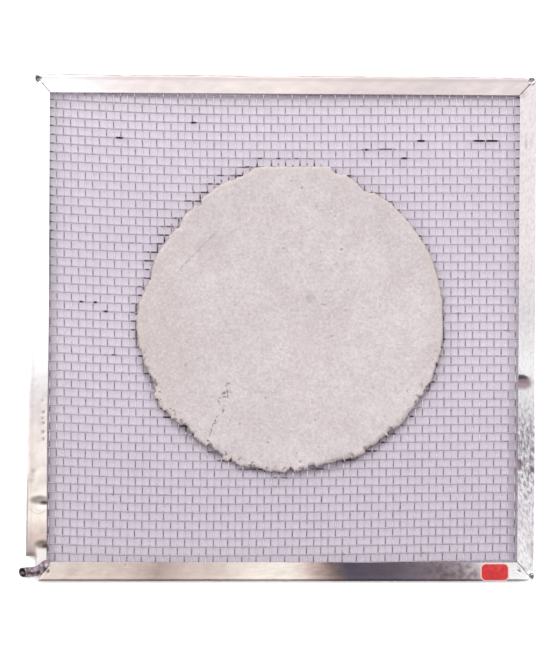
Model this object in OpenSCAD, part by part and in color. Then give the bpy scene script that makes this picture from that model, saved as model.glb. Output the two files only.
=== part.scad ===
// Wire gauze: a square of woven wire with a ceramic disc pressed through its middle,
// bound along all four edges by one folded strip of tinned sheet.
// It lies flat: +Z is up, and the origin is the middle of the disc's underside.

/* [Wire mesh] */
// Diameter of the wire
wire_d = 0.38; // [0.25:0.01:0.5]
// Distance between neighbouring warp wires, which run along Y
warp_pitch = 2.12; // [1.6:0.01:4]
// Distance between neighbouring weft wires, which run along X
weft_pitch = 2.54; // [1.6:0.01:4]
// Thickness of the web that joins the wires into one wall
web_t = 0.12; // [0.08:0.01:0.18]
// How far the edge of the mesh reaches in under the binding
mesh_tuck = 2.8; // [1.5:0.1:3]
// Cells from one window to the next along a row
window_every_x = 6; // [6:1:12]
// Rows of cells from one row of windows to the next
window_every_y = 5; // [5:1:12]
// Cells across each bar that is left between two windows
bar_cells = 1; // [1:1:3]

/* [Ceramic disc] */
// Diameter of the disc
disc_d = 91.6; // [60:0.1:110]
// Thickness of the disc, measured through the mesh
disc_t = 2.4; // [2.2:0.1:5]
// Bevel round the top and bottom of the disc's rim
disc_bevel = 0.35; // [0.1:0.05:0.5]

/* [Binding] */
// Length of each side of the binding, outside
binding_size = 150; // [140:0.5:200]
// Width of the binding, from its outer fold to the open mesh
flange_w = 5.3; // [4.8:0.1:8]
// Thickness of the tinned sheet
sheet_t = 0.3; // [0.2:0.05:0.4]
// Play between the sheet and the wires that it grips
grip_play = 0.02; // [0.01:0.01:0.1]
// How far the disc's middle lies right of the binding's middle
disc_right = 1.8; // [-4:0.1:4]
// How far the disc's middle lies above the binding's middle
disc_up = 2.7; // [-4:0.1:4]

/* [Binding corners] */
// Length over which a lapped end sinks back into its flange
lap_fade = 3; // [1:0.5:6]
// Depth of the pinched hollow at each corner's tip
tip_hollow = 1.25; // [0.9:0.05:1.6]
// Width of the pleat beside the top right mitre
pleat_w = 2.1; // [1:0.1:3]
// Width of the tongue that the strip starts with, at the bottom left
tongue_w = 3.3; // [3.1:0.1:4]
// Outer radius of the rolled tail where it leaves the corner
tail_root_r = 1.65; // [1.2:0.05:1.7]
// Outer radius of the rolled tail at its open end
tail_tip_r = 1.15; // [0.8:0.05:1.6]
// Length of the rolled tail
tail_len = 5.6; // [3:0.1:9]
// Angle by which the tail lifts off the plane of the mesh
tail_lift = 12; // [0:1:25]

/* [Sticker] */
// Length of the sticker
sticker_w = 8.5; // [5:0.1:14]
// Height of the sticker
sticker_h = 5.2; // [3:0.1:5.6]
// Thickness of the sticker
sticker_t = 0.1; // [0.05:0.01:0.2]
// Radius of the sticker's corners
sticker_r = 1.4; // [0.3:0.1:1.5]
// Distance from the sticker's middle to the right end of its side
sticker_from_end = 11.7; // [8:0.1:40]

/* [Hidden] */
$fn = 64;

mid_z = disc_t / 2;
middle = [-disc_right, -disc_up];

// The wires stand out of the web as ridges, a wire's diameter wide at the foot
mesh_size = binding_size - 2 * flange_w + 2 * mesh_tuck;
opening_size = binding_size - 2 * flange_w;
warp_count = floor(mesh_size / warp_pitch);
weft_count = floor(mesh_size / weft_pitch);

// Windows: this many cells wide and high, centred on a cell or on a wire as that asks
window_lip = 0.03;
cells_x = window_every_x - bar_cells;
cells_y = window_every_y - bar_cells;
window_w = opening_across(cells_x, warp_pitch);
window_h = opening_across(cells_y, weft_pitch);
column_step = window_every_x * warp_pitch;
row_step = window_every_y * weft_pitch;
first_x = ((warp_count + cells_x + 1) % 2) * warp_pitch / 2;
first_y = ((weft_count + cells_y + 1) % 2) * weft_pitch / 2;
last_column = floor((opening_size - window_w) / 2 / column_step);
last_row = floor((opening_size - window_h) / 2 / row_step);
under_disc = disc_d / 2 - 2;

function opening_across(cells, pitch) = cells * pitch - wire_d - 2 * window_lip;

// Worn rim of the disc: angle, radius of the bite and how deep it goes
rim_bites = [
    [60, 3, 1.2],
    [125, 5, 1],
    [140, 60, 2.2],
    [163, 20, 2.2],
    [225, 3, 0.9],
    [234, 9, 1.1],
    [241, 2.5, 0.8],
    [270, 0.9, 0.8],
    [283, 16, 1.7],
    [293, 9, 0.9],
    [316, 7, 0.8]
];

// The strip's section, seen along the side
half_t = wire_d + grip_play + sheet_t;
flange_reach = flange_w + 4;

// Corners in the order that the strip runs: top left, bottom left, bottom right, top right.
// Each is bent a little off the true square, outside and along the opening.
CORNERS = [[-1, 1], [-1, -1], [1, -1], [1, 1]];
outer_off = [[0.5, 1], [-1.5, -0.1], [-0.6, -0.1], [0.3, -0.1]];
inner_off = [[0.1, 0.7], [-0.5, 0.4], [-0.3, 0.2], [0.5, -0.2]];
LEFT = 0;
BOTTOM = 1;
RIGHT = 2;
TOP = 3;

function outer(i) = middle + CORNERS[i % 4] * binding_size / 2 + outer_off[i % 4];
function inner(i) = middle + CORNERS[i % 4] * opening_size / 2 + inner_off[i % 4];
function side_length(i) = norm(outer(i + 1) - outer(i));
function heading(i) = atan2(outer(i + 1)[1] - outer(i)[1], outer(i + 1)[0] - outer(i)[0]);

// One warp or weft set: a ridge for each wire, on half of the web
module ridges(count, pitch) {
    linear_extrude(mesh_size, center = true)
        union() {
            translate([-mesh_size / 2, 0])
                square([mesh_size, web_t / 2]);
            for (i = [0 : count - 1])
                translate([(i - (count - 1) / 2) * pitch, 0])
                    polygon([
                        [-wire_d / 2, web_t / 4],
                        [0, wire_d],
                        [wire_d / 2, web_t / 4]
                    ]);
        }
}

// Windows right through the mesh. Where the disc hides a whole window, a single cell stays open
// at every second place, and the ceramic meets itself through it.
module windows() {
    half_cell = [(cells_x + 1) % 2 * warp_pitch, (cells_y + 1) % 2 * weft_pitch] / 2;
    one_cell = [opening_across(1, warp_pitch), opening_across(1, weft_pitch)];
    for (row = [-last_row : last_row], column = [-last_column : last_column]) {
        at = [first_x + column * column_step, first_y + row * row_step];
        from_disc = [abs(at[0] + middle[0]), abs(at[1] + middle[1])];
        hidden = norm(from_disc + [window_w, window_h] / 2) < under_disc;
        if (!hidden)
            translate(at)
                cube([window_w, window_h, 4 * wire_d], center = true);
        if (hidden && (row + column) % 2 == 0)
            translate(at + half_cell)
                cube([one_cell[0], one_cell[1], 4 * wire_d], center = true);
    }
}

module wire_mesh() {
    color([0.62, 0.58, 0.64])
        translate([middle[0], middle[1], mid_z])
            difference() {
                union() {
                    rotate([90, 0, 0])
                        ridges(warp_count, warp_pitch);
                    rotate([90, 0, 90])
                        mirror([0, 1, 0])
                            ridges(weft_count, weft_pitch);
                }
                windows();
            }
}

module disc_blank() {
    r = disc_d / 2;
    rotate_extrude()
        polygon([
            [0, 0],
            [r - disc_bevel, 0],
            [r, disc_bevel],
            [r, disc_t - disc_bevel],
            [r - disc_bevel, disc_t],
            [0, disc_t]
        ]);
}

// The ceramic is pressed in from both faces and meets itself through the cells
module ceramic_disc() {
    color([0.85, 0.82, 0.79])
        difference() {
            disc_blank();
            for (bite = rim_bites)
                rotate([0, 0, bite[0]])
                    translate([disc_d / 2 - bite[2] + bite[1], 0, -1])
                        cylinder(r = bite[1], h = disc_t + 2);
            wire_mesh();
        }
}

module fold_outline(r, reach) {
    translate([half_t, 0])
        circle(r = r);
    translate([half_t, -r])
        square([reach - half_t, 2 * r]);
}

// Section of the folded strip: x runs in from the outer fold and y runs up
module strip_section() {
    difference() {
        fold_outline(half_t, flange_reach);
        fold_outline(half_t - sheet_t, flange_reach + 1);
    }
}

// Puts a part at the start of a side, with x along the side and y towards the mesh
module at_side(i) {
    translate([outer(i)[0], outer(i)[1], mid_z])
        rotate([0, 0, heading(i)])
            children();
}

module straight_strip(i) {
    at_side(i)
        translate([-flange_reach, 0, 0])
            rotate([90, 0, 90])
                linear_extrude(side_length(i) + 2 * flange_reach)
                    strip_section();
}

// A second thickness of sheet on both faces, where a side's end laps its neighbour
module lap() {
    flat = flange_w + 1;
    for (face = [0, 1])
        mirror([0, 0, face])
            translate([0, flange_reach, half_t])
                rotate([90, 0, 0])
                    linear_extrude(flange_reach - half_t)
                        polygon([
                            [-flange_reach, -sheet_t / 2],
                            [flat + lap_fade, -sheet_t / 2],
                            [flat + lap_fade, 0],
                            [flat, sheet_t],
                            [-flange_reach, sheet_t]
                        ]);
}

module lap_at_start(i) {
    at_side(i)
        lap();
}

module lap_at_end(i) {
    at_side(i)
        translate([side_length(i), 0, 0])
            mirror([1, 0, 0])
                lap();
}

// Where a mitre line leaves the plan, drawn out past the fold
function past(i) = outer(i) + (outer(i) - inner(i)) / 2;

plan_h = 6;

module plan(points) {
    translate([0, 0, mid_z - plan_h / 2])
        linear_extrude(plan_h)
            polygon(points);
}

// The left side starts the strip: its lower end is cut back to a narrow tongue,
// and the bottom side's last mitre starts beside that tongue
tongue_x = inner(1)[0] - tongue_w;
tongue_y = inner(1)[1] - 1.5;
cut_y = inner(1)[1] + 1.8;
end_mitre = [tongue_x + 0.3, outer(1)[1]];

module left_side() {
    intersection() {
        straight_strip(LEFT);
        plan([
            past(0),
            [outer(1)[0] - 5, cut_y],
            [tongue_x, cut_y],
            [tongue_x, tongue_y],
            [inner(1)[0] - 0.5, tongue_y],
            inner(1),
            inner(0)
        ]);
    }
}

// The bottom side ends in a mitre that laps the start of the strip
module bottom_side() {
    intersection() {
        union() {
            straight_strip(BOTTOM);
            lap_at_start(BOTTOM);
        }
        plan([
            end_mitre + (end_mitre - inner(1)) / 4,
            past(2),
            inner(2),
            inner(1)
        ]);
    }
}

// A shallow pleat, where the sheet folded over itself as it turned the last corner
module pleat() {
    pleat_t = 0.4 * sheet_t;
    fold_end = outer(3) + (inner(3) - outer(3)) * (half_t + 0.2) / flange_w;
    past_edge = inner(3) + (inner(3) - outer(3)) / 4;
    translate([0, 0, mid_z + half_t - sheet_t / 2])
        linear_extrude(sheet_t / 2 + pleat_t)
            polygon([
                fold_end + [0, pleat_w],
                past_edge + [0, pleat_w],
                past_edge - [0, pleat_w],
                fold_end - [0, pleat_w]
            ]);
}

module right_side() {
    intersection() {
        union() {
            straight_strip(RIGHT);
            lap_at_start(RIGHT);
            pleat();
        }
        plan([past(2), past(3), inner(3), inner(2)]);
    }
}

module top_side() {
    intersection() {
        union() {
            straight_strip(TOP);
            lap_at_start(TOP);
            lap_at_end(TOP);
        }
        plan([past(3), past(4), inner(4), inner(3)]);
    }
}

module corner_tip(i) {
    out = outer(i) - inner(i);
    block = 10;
    translate([outer(i)[0], outer(i)[1], mid_z])
        rotate([0, 0, atan2(out[1], out[0])])
            translate([-tip_hollow, -block / 2, -block / 2])
                cube(block);
}

// The strip's tail runs on past the corner, flat at first and then rolled into a tube
tail_joint = 0.15;
tail_y = tongue_y - tail_root_r + 2 * tail_joint;
tail_z = tail_root_r + 0.3;
tail_overlap = 0.3;
tail_flat = 2.9;

module tail_tab() {
    width = 2 * (tail_root_r - tail_joint);
    translate([tongue_x - tail_overlap, tail_y - width / 2, mid_z + half_t - sheet_t])
        cube([tail_overlap + tail_flat, width, sheet_t]);
}

module tail_tube() {
    slope = (tail_root_r - tail_tip_r) / tail_len;
    difference() {
        cylinder(h = tail_len, r1 = tail_root_r, r2 = tail_tip_r);
        translate([0, 0, -1])
            cylinder(
                h = tail_len + 2,
                r1 = tail_root_r + slope - sheet_t,
                r2 = tail_tip_r - slope - sheet_t
            );
    }
}

module tail() {
    tail_tab();
    translate([tongue_x, tail_y, tail_z])
        rotate([0, tail_lift - 90, 0])
            tail_tube();
}

// Dents pressed into the binding's upper face: place, layers of sheet below, radius and depth
DENTS = [
    [inner(3) + [1.8, -85], 1, 2.1, 0.2],
    [inner(0) + [-1.4, -134.7], 1, 1.5, 0.25],
    [inner(0) + [-0.9, -90.2], 1, 0.9, 0.15],
    [inner(0) + [-1, -95.7], 1, 0.8, 0.15],
    [inner(0) + [-1.1, -101.7], 1, 0.9, 0.15],
    [inner(2) + [0.6, -2.5], 2, 0.5, 0.15],
    [inner(1) + [0.4, -3.1], 2, 0.6, 0.2]
];

module dent(at, layers, plan_r, depth) {
    r = (plan_r * plan_r + depth * depth) / (2 * depth);
    translate([at[0], at[1], mid_z + half_t + (layers - 1) * sheet_t - depth + r])
        sphere(r);
}

// A crease right across the left side's upper face
module crease() {
    half_w = 1.3;
    depth = 0.2;
    down = 120.7;
    r = (half_w * half_w + depth * depth) / (2 * depth);
    translate([inner(0)[0] - flange_reach, inner(0)[1] - down, mid_z + half_t - depth + r])
        rotate([0, 90, 0])
            cylinder(r = r, h = 2 * flange_reach);
}

module edge_binding() {
    color([0.82, 0.81, 0.79])
        difference() {
            union() {
                left_side();
                bottom_side();
                right_side();
                top_side();
                tail();
            }
            corner_tip(0);
            corner_tip(2);
            corner_tip(3);
            crease();
            for (d = DENTS)
                dent(d[0], d[1], d[2], d[3]);
        }
}

module sticker() {
    color([0.85, 0.16, 0.18])
        at_side(BOTTOM)
            translate([side_length(BOTTOM) - sticker_from_end, half_t + 2.1, half_t])
                linear_extrude(sticker_t)
                    union() {
                        square([sticker_w - 2 * sticker_r, sticker_h], center = true);
                        square([sticker_w, sticker_h - 2 * sticker_r], center = true);
                        for (x = [-1, 1], y = [-1, 1])
                            translate([x * (sticker_w / 2 - sticker_r), y * (sticker_h / 2 - sticker_r)])
                                circle(sticker_r);
                    }
}

wire_mesh();
ceramic_disc();
edge_binding();
sticker();
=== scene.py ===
import math

import bpy
import numpy as np
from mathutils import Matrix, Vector, noise


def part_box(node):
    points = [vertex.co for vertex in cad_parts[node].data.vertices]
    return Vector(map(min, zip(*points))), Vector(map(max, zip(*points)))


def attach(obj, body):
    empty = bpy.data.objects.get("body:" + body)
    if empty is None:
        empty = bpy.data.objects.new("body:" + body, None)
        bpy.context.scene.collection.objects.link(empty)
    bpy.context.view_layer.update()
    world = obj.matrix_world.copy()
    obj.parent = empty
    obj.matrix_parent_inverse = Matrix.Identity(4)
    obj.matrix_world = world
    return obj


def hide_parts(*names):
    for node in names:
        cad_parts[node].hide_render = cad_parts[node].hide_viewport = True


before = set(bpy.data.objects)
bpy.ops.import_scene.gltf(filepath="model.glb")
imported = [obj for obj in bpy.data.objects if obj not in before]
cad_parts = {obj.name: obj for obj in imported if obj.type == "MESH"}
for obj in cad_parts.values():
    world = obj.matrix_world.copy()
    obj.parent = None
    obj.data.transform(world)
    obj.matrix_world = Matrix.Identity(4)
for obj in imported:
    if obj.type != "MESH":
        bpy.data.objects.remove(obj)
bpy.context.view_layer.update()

# ---- Wire cloth ---------------------------------------------------------------------
# A square of plain-woven steel wire. The warp runs up the sheet and the weft across it,
# each wire passing over one and under the next, and the whole weave is bowed a little.
MM = 0.001
WIRE_D = 0.38 * MM
WARP_PITCH = 2.1311 * MM
WEFT_PITCH = 2.5663 * MM
WARP_COUNT = 68
WEFT_COUNT = 57
# Places of the wire nearest the middle of each set, and how many wires lie before it
A_WARP = -1.0315 * MM
A_WEFT = -0.862 * MM
WARPS_BEFORE = 34
WEFTS_BEFORE = 29
CLOTH_LEVEL = 1.2 * MM
CLOTH_X = -1.8 * MM
CLOTH_Y = -2.7 * MM
HALF_CLOTH = 72.3 * MM
# The warp takes most of the crimp, and the two together come to a wire's diameter
WARP_CRIMP = 0.26 * MM
WEFT_CRIMP = WIRE_D - WARP_CRIMP
DRIFT_SPAN = 72 * MM
RINGS_PER_CELL = 4
WIRE_SIDES = 6


class Value:
    """An output of a node. Arithmetic on it adds Math nodes to its tree."""

    def __init__(self, maker, socket):
        self.maker = maker
        self.socket = socket

    def maths(self, operation, *others, first=None):
        numbers = [self if first is None else first, *others]
        if first is not None:
            numbers.append(self)
        return self.maker.node("ShaderNodeMath", {"operation": operation}, numbers)["Value"]

    def __add__(self, other):
        return self.maths("ADD", other)

    def __sub__(self, other):
        return self.maths("SUBTRACT", other)

    def __rsub__(self, other):
        return self.maths("SUBTRACT", first=other)

    def __mul__(self, other):
        return self.maths("MULTIPLY", other)

    def __truediv__(self, other):
        return self.maths("DIVIDE", other)

    def __pow__(self, other):
        return self.maths("POWER", other)

    __radd__ = __add__
    __rmul__ = __mul__

    def cos(self):
        return self.maths("COSINE")

    def clip(self, low=0.0, high=1.0):
        return self.maths("MAXIMUM", low).maths("MINIMUM", high)

    def ramp(self, low, high, at_low=0.0, at_high=1.0):
        """Smooth step from one value to another."""
        settings = {"interpolation_type": "SMOOTHSTEP"}
        return self.maker.node("ShaderNodeMapRange", settings, {
            "Value": self, "From Min": low, "From Max": high, "To Min": at_low, "To Max": at_high,
        })["Result"]


class Maker:
    """Adds nodes to one node tree."""

    def __init__(self, tree):
        self.tree = tree

    def node(self, kind, settings=None, inputs=None):
        """Makes a node: its settings first, then its sockets by name or in order."""
        made = self.tree.nodes.new(kind)
        settings = dict(settings or {})
        stops = settings.pop("stops", None)
        for name, value in settings.items():
            setattr(made, name, value)
        if stops:
            ramp = made.color_ramp.elements
            while len(ramp) < len(stops):
                ramp.new(0.5)
            for element, (place, colour) in zip(ramp, stops):
                element.position = place
                element.color = colour
        inputs = inputs or {}
        pairs = inputs.items() if isinstance(inputs, dict) else enumerate(inputs)
        for key, value in pairs:
            if isinstance(key, int):
                socket = made.inputs[key]
            else:
                socket = [s for s in made.inputs if s.name == key and s.enabled][0]
            if isinstance(value, Value):
                self.tree.links.new(value.socket, socket)
            else:
                socket.default_value = value
        return {s.name: Value(self, s) for s in reversed(made.outputs) if s.enabled}

    def join(self, x, y, z=0.0):
        return self.node("ShaderNodeCombineXYZ", {}, {"X": x, "Y": y, "Z": z})["Vector"]

    def split(self, vector):
        parts = self.node("ShaderNodeSeparateXYZ", {}, {"Vector": vector})
        return parts["X"], parts["Y"], parts["Z"]

    def scale(self, vector, factor):
        inputs = {"Vector": vector, "Scale": factor}
        return self.node("ShaderNodeVectorMath", {"operation": "SCALE"}, inputs)["Vector"]

    def mix(self, factor, a, b):
        """Mixes two colours."""
        inputs = {"Factor": factor, "A": a, "B": b}
        return self.node("ShaderNodeMix", {"data_type": "RGBA"}, inputs)["Result"]

    def noise(self, place, scale, detail=2.0, roughness=0.5):
        inputs = {"Vector": place, "Scale": scale, "Detail": detail, "Roughness": roughness}
        return self.node("ShaderNodeTexNoise", {}, inputs)["Fac"]

    def bump(self, height, distance, strength=1.0):
        inputs = {"Height": height, "Distance": distance, "Strength": strength}
        return self.node("ShaderNodeBump", {}, inputs)["Normal"]


def new_material(name):
    material = bpy.data.materials.new(name)
    material.use_nodes = True
    material.node_tree.nodes.clear()
    return material, Maker(material.node_tree)


def finish_material(maker, **inputs):
    inputs = {key.replace("_", " "): value for key, value in inputs.items()}
    surface = maker.node("ShaderNodeBsdfPrincipled", {}, inputs)["BSDF"]
    maker.node("ShaderNodeOutputMaterial", {}, {"Surface": surface})


def paint(red, green, blue_tint_and_reflection):
    """A colour mixed on the usual 0 to 255 scale, with its alpha."""
    shares = [part / 255 for part in (red, green, blue_tint_and_reflection)]
    return (*(s / 12.92 if s < 0.0404 else ((s + 0.055) / 1.055) ** 2.4 for s in shares), 1)


def smooth(x, low, high):
    t = np.clip((x - low) / (high - low), 0, 1)
    return t * t * (3 - 2 * t)


def attribute(maker, name):
    return maker.node("ShaderNodeAttribute", {"attribute_name": name})["Fac"]


def set_attribute(mesh, name, values):
    """Gives each point of a mesh a value of its own."""
    made = mesh.attributes.new(name, "FLOAT", "POINT")
    made.data.foreach_set("value", np.ravel(values).astype(np.float32))


def mesh_points(mesh):
    """The points of a mesh, in mm."""
    points = np.empty(len(mesh.vertices) * 3, np.float32)
    mesh.vertices.foreach_get("co", points)
    return points.reshape(-1, 3) / MM


def add_object(name, mesh):
    """Adds an object to the scene, at the origin."""
    made = bpy.data.objects.new(name, mesh)
    bpy.context.collection.objects.link(made)
    return made


def drawn_steel(name, clean, dull, low, middle, high):
    """Drawn steel wire with its clean and dulled colours, and the painted light levels that scale it at the
    bottom, the middle and the top of the sheet."""
    material, make = new_material(name)
    place = make.node("ShaderNodeTexCoord")["Object"]
    tarnish = make.noise(place, 60, 3).ramp(0.45, 0.75)
    spots = make.noise(place, 420, 2).ramp(0.66, 0.74)
    steel = make.mix(tarnish * 0.6, (*clean, 1), (*dull, 1))
    steel = make.mix(spots * 0.6, steel, (0.16, 0.12, 0.12, 1))
    # Painted light: the wire is made lighter or darker by its place up the sheet
    up = make.split(place)[1] / MM
    painted_light_level = up.ramp(-60, -20, low, middle) + up.ramp(40, 60, 0, high - middle)
    steel = make.scale(steel, painted_light_level)
    # Heat-blackened bits, with painted shade below the disc and under the binding
    burnt_and_shaded = attribute(make, "burnt_and_shaded")
    steel = make.mix(burnt_and_shaded, steel, (0.05, 0.032, 0.038, 1))
    rough = make.noise(place, 900).ramp(0.3, 0.7, 0.26, 0.38) + burnt_and_shaded * 0.3
    finish_material(make, Base_Color=steel, Metallic=1.0, Roughness=rough)
    return material


# The weft is a copy of the same steel, painted darker than the warp as shade
warp_steel = drawn_steel("warp_steel", (0.56, 0.51, 0.57), (0.48, 0.43, 0.49), 1.0, 1.12, 1.15)
shaded_weft_steel = drawn_steel("shaded_weft_steel", (0.48, 0.43, 0.49), (0.39, 0.35, 0.40), 1.06, 1.13, 1.04)


def cloth_tree():
    """One set of crimped wires: straight wires side by side, bent over and under the other
    set, bowed in the sheet's plane and given their round section."""
    tree = bpy.data.node_groups.new("crimped wires", "GeometryNodeTree")
    tree.is_modifier = True
    sockets = {}
    for name, kind in (
        ("Geometry", "NodeSocketGeometry"), ("Wires", "NodeSocketInt"), ("Rings", "NodeSocketInt"),
        ("Across", "NodeSocketVector"), ("First", "NodeSocketVector"), ("Half run", "NodeSocketVector"),
        ("Crimp", "NodeSocketFloat"), ("Material", "NodeSocketMaterial"),
    ):
        sockets[name] = tree.interface.new_socket(name, in_out="INPUT", socket_type=kind)
    tree.interface.new_socket("Geometry", in_out="OUTPUT", socket_type="NodeSocketGeometry")
    make = Maker(tree)
    given = make.node("NodeGroupInput")
    points = make.node("GeometryNodeMeshLine", {"mode": "OFFSET"}, {
        "Count": given["Wires"], "Start Location": given["First"], "Offset": given["Across"],
    })["Mesh"]
    back = make.scale(given["Half run"], -1.0)
    straight = make.node("GeometryNodeCurvePrimitiveLine", {}, {"Start": back, "End": given["Half run"]})
    straight = make.node("GeometryNodeResampleCurve", {}, {
        "Curve": straight["Curve"], "Count": given["Rings"]})["Curve"]
    wires = make.node("GeometryNodeInstanceOnPoints", {}, {"Points": points, "Instance": straight})
    wires = make.node("GeometryNodeRealizeInstances", {}, {"Geometry": wires["Instances"]})["Geometry"]
    x, y, _ = make.split(make.node("GeometryNodeInputPosition")["Position"])
    over = ((x - A_WARP) * (math.pi / WARP_PITCH)).cos() * ((y - A_WEFT) * (math.pi / WEFT_PITCH)).cos()
    # How far the weave has drifted aside and up, in mm, by the place on the sheet
    u, v = x / DRIFT_SPAN, y / DRIFT_SPAN
    bow_x = (v * (-0.129 + v * (-0.512 + v * 0.168)) + u * (-0.024 - v * 0.126 - u * 0.114)) * MM
    bow_y = (v * (0.017 + v * (0.289 + v * 0.092)) + u * (0.177 - v * 0.655 + v * v * 0.169)
             + u * u * (1.009 + v * 0.086 - u * 0.888)) * MM
    shift = make.join(bow_x, bow_y, over * given["Crimp"] + CLOTH_LEVEL)
    wires = make.node("GeometryNodeSetPosition", {}, {"Geometry": wires, "Offset": shift})["Geometry"]
    section = make.node("GeometryNodeCurvePrimitiveCircle", {"mode": "RADIUS"}, {
        "Resolution": WIRE_SIDES, "Radius": WIRE_D / 2})["Curve"]
    solid = make.node("GeometryNodeCurveToMesh", {}, {
        "Curve": wires, "Profile Curve": section, "Fill Caps": True})["Mesh"]
    solid = make.node("GeometryNodeSetShadeSmooth", {}, {"Geometry": solid})["Geometry"]
    solid = make.node("GeometryNodeRealizeInstances", {}, {"Geometry": solid})["Geometry"]
    solid = make.node("GeometryNodeSetMaterial", {}, {
        "Geometry": solid, "Material": given["Material"]})["Geometry"]
    make.node("NodeGroupOutput", {}, {"Geometry": solid})
    return tree, {name: socket.identifier for name, socket in sockets.items()}


def plain_mesh(carrier, name):
    """Turns an object's modifiers into a plain mesh on a new object at the origin."""
    bpy.context.view_layer.update()
    view = bpy.context.evaluated_depsgraph_get()
    mesh = bpy.data.meshes.new_from_object(carrier.evaluated_get(view))
    mesh.name = name
    bpy.data.objects.remove(carrier)
    return add_object(name, mesh)


tree, inputs = cloth_tree()


def weave_wires(name, wires, cells, across, first, half_run, crimp, steel):
    carrier = add_object(name, bpy.data.meshes.new(name))
    modifier = carrier.modifiers.new("wires", "NODES")
    modifier.node_group = tree
    for key, value in (
        ("Wires", wires), ("Rings", cells * RINGS_PER_CELL + 1), ("Across", across), ("First", first),
        ("Half run", half_run), ("Crimp", crimp), ("Material", steel),
    ):
        modifier[inputs[key]] = value
    return plain_mesh(carrier, name)


first_warp = A_WARP - WARP_PITCH * WARPS_BEFORE
first_weft = A_WEFT - WEFT_PITCH * WEFTS_BEFORE
warp = weave_wires(
    "warp_wires", WARP_COUNT, WEFT_COUNT, (WARP_PITCH, 0, 0), (first_warp, CLOTH_Y, 0), (0, HALF_CLOTH, 0),
    -WARP_CRIMP, warp_steel,
)
weft = weave_wires(
    "weft_wires", WEFT_COUNT, WARP_COUNT, (0, WEFT_PITCH, 0), (CLOTH_X, first_weft, 0), (HALF_CLOTH, 0, 0),
    WEFT_CRIMP, shaded_weft_steel,
)


# Painted shade on the wires where they go in under the binding: how dark it makes them
END_SHADE = 0.9


def darken_wires(wires, bits, width, seed):
    """Marks the bits of wire that are painted dark: a few heat-blackened bits out on the sheet, given by
    place and half length, broken runs beside the disc that are heat-blackened and, below the disc, partly
    painted shade, and painted shade where the wires go in under the binding."""
    points = mesh_points(wires.data)
    x, y = points[:, 0], points[:, 1]
    black = np.zeros(len(points))
    for bit_x, bit_y, half_x, half_y in bits:
        along = smooth(abs(x - bit_x), half_x, half_x * 0.6)
        black = np.maximum(black, along * smooth(abs(y - bit_y), half_y, half_y * 0.6))
    beyond = np.hypot(x, y) - np.interp(np.degrees(np.arctan2(y, x)) % 360, *zip(*RIM, (360, RIM[0][1])))
    column = np.round((x - A_WARP / MM) * MM / WARP_PITCH * 2).astype(int)
    row = np.round((y - A_WEFT / MM) * MM / WEFT_PITCH * 2).astype(int)
    chance = np.random.default_rng(seed).random((400, 400))[column + 200, row + 200]
    # The runs are longest at the disc's upper left, and most of them lie below it, where they are partly
    # painted shade
    upper_left = np.clip(-np.cos(np.arctan2(y, x) - math.radians(315)), 0, 1) ** 2
    lower = np.clip(-y / 45, 0, 1)
    reach = width * (0.4 + 1.6 * upper_left + 0.6 * lower) * (0.3 + chance)
    at_rim = (beyond > -1.5) & (beyond < reach) & (chance > 0.35 - 0.25 * lower)
    # The black bits are thickened by a crust
    rings = points.reshape(-1, WIRE_SIDES, 3)
    middle = rings.mean(1, keepdims=True)
    swollen = 1 + np.maximum(0.6 * black, 0.25 * at_rim).reshape(-1, WIRE_SIDES, 1)
    wires.data.vertices.foreach_set("co", (middle + (rings - middle) * swollen).ravel() * MM)
    black = np.maximum(black, at_rim * (0.55 + 0.45 * (chance * 7.3 % 1)))
    # Painted shade where the wires go in under the binding
    ends = smooth(x, -70.2, -70.8) + smooth(x, 67.0, 67.6)
    black = np.maximum(black, END_SHADE * ends * smooth(y, 5, 25) * (chance > 0.2))
    set_attribute(wires.data, "burnt_and_shaded", black)


# Outline of the disc: angle and radius in mm
RIM = (
    (0, 45.5), (12, 45.7), (26, 46.0), (38, 45.7), (48, 45.9), (56, 45.4), (60, 44.5), (63, 45.2),
    (69, 46.2), (73, 45.9), (75.2, 47.2), (80, 46.4), (90, 45.7), (98, 46.2), (102, 46.7), (106, 45.3),
    (112, 45.4), (119, 45.3), (126, 44.6), (134, 44.2), (140, 43.4), (146, 43.8), (156, 44.1), (163, 43.3),
    (170, 44.3), (175, 45.5), (180, 45.7), (188, 45.6), (198, 45.1), (203, 44.7), (207, 45.3), (212, 46.0),
    (222, 45.9), (228, 44.9), (236, 44.5), (243, 45.5), (252, 45.3), (261, 45.2), (268, 45.7), (274, 44.6),
    (284, 43.9), (291, 45.0), (300, 45.3), (305, 44.9), (314, 45.0), (323, 45.2), (334, 45.6), (346, 45.5),
    (352, 46.0),
)
darken_wires(weft, (
    (-50.8, 54.6, 1.4, 0.9), (-28.7, 58.9, 0.8, 0.9), (28.6, 51.4, 3.4, 0.9), (22.4, 51.1, 1.2, 0.9),
    (56.3, 53.6, 2.1, 0.9), (60.0, 53.6, 2.3, 0.9), (39.0, 53.3, 1.3, 0.9), (-54.9, 2.8, 0.8, 0.9),
    (34.0, 48.4, 1.2, 0.9), (-52.5, -9.8, 0.9, 0.9), (-62.0, 5.5, 0.7, 0.9), (-58.0, 5.4, 0.6, 0.9),
), 1.7, 3)
darken_wires(warp, ((-11.0, 60.0, 0.7, 0.6),), 0.7, 4)
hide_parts("wire_mesh")
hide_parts("wire_mesh")
for wires in (warp, weft):
    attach(wires, "root")

# ---- Ceramic disc -------------------------------------------------------------------
# A coat of ceramic fibre pressed into both faces of the cloth while wet, and fired. It is
# flat and slightly rough, and its rim is ragged, because it broke off wire by wire.
DISC_TOP = 2.4
DISC_POINTS = 900
# Chips out of the rim: angle and half width in degrees, depth
CHIPS = ((225.4, 1.3, 0.9), (242.0, 1.6, 0.9), (270.3, 0.5, 0.6), (128.0, 1.2, 0.7))
# The coat broke off along one wire at the top: from and to in degrees, height
FLAT_TOP = (75, 102, 45.75)
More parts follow.
